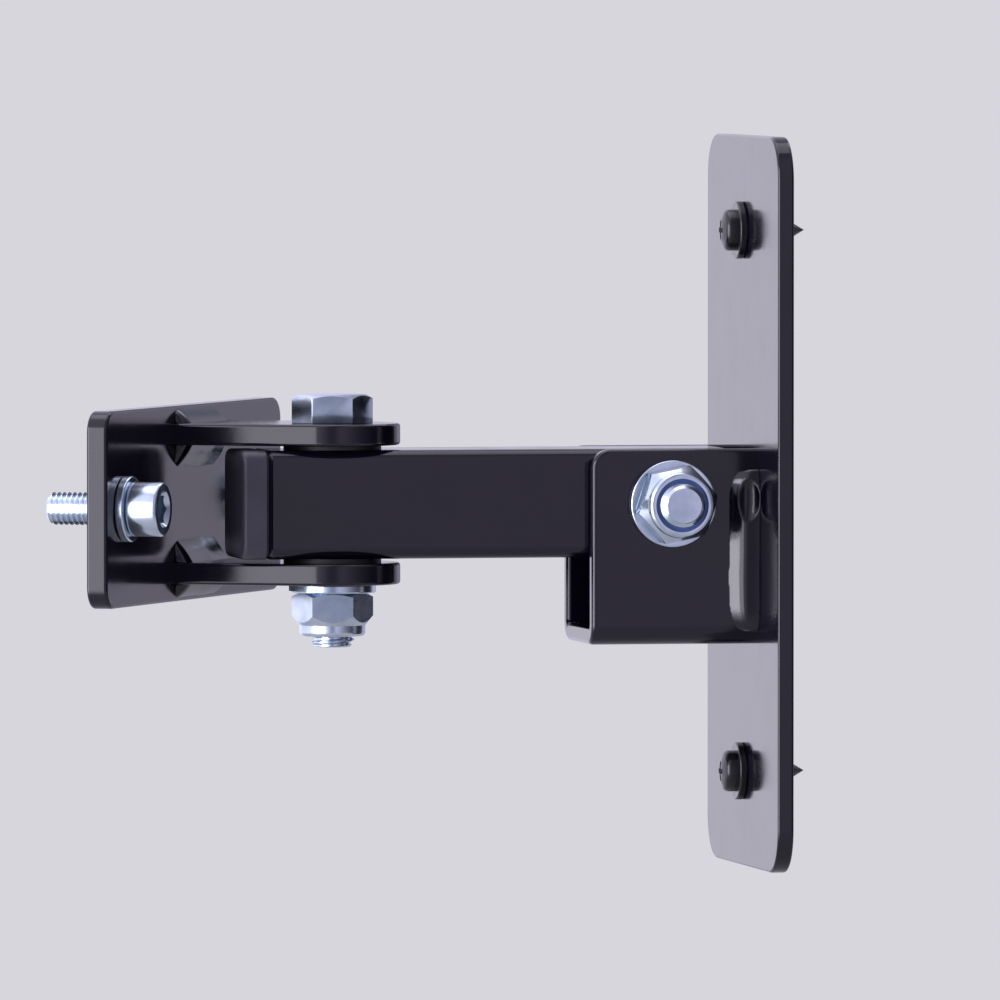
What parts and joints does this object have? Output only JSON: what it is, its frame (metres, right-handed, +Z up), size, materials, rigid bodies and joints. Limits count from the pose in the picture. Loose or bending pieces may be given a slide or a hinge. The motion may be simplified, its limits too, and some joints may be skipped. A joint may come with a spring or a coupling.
{
  "type": "speaker wall bracket",
  "caption": "Black steel wall bracket for a loudspeaker: wall plate with a folded channel, square tube arm that tilts in it, and a welded fork with a screw plate that swivels on the arm's end.",
  "frame": {"origin": "middle of the wall plate's back face, where it lies on the wall", "axes": "+X into the wall, +Z up, the arm reaches out along -X, the tilt axis is along Y"},
  "size_m": [0.1448, 0.0908, 0.135],
  "materials": {
    "black_paint": "gloss black powder coat",
    "zinc_plate": "bright blue-white zinc plate",
    "blue_nylon": "blue nylon",
    "black_nylon": "plain black nylon",
    "black_plastic": "satin moulded plastic",
    "black_screw": "black phosphated steel"
  },
  "bodies": {
    "wall_bracket": {"wall_plate": "black_paint", "wall_channel": "black_paint", "channel_welds": "black_paint", "wall_screws": "black_screw", "wall_screw_washers": "black_screw", "tilt_bolt": "zinc_plate", "tilt_head_washer": "zinc_plate", "tilt_nut_washer": "zinc_plate", "tilt_lock_nut": "zinc_plate", "tilt_nut_insert": "blue_nylon"},
    "arm": {"arm_tube": "black_paint", "arm_end_cap": "black_plastic", "tilt_friction_washers": "black_nylon", "swivel_friction_washers": "black_nylon"},
    "speaker_mount": {"swivel_fork": "black_paint", "fork_welds": "black_paint", "speaker_plate": "black_paint", "speaker_screws": "zinc_plate", "speaker_screw_washers": "zinc_plate", "swivel_bolt": "zinc_plate", "swivel_nut_washer": "zinc_plate", "swivel_lock_nut": "zinc_plate", "swivel_nut_insert": "blue_nylon"}
  },
  "joints": [
    {"name": "tilt", "type": "hinge", "parent": "wall_bracket", "child": "arm", "pos_m": [-0.019, 0, 0], "axis": [0, 1, 0], "range_deg": [-34, 60]},
    {"name": "swivel", "type": "hinge", "parent": "arm", "child": "speaker_mount", "pos_m": [-0.08, 0, 0], "axis": [0, 0, 1], "range_deg": [-61.5, 118.5]}
  ]
}
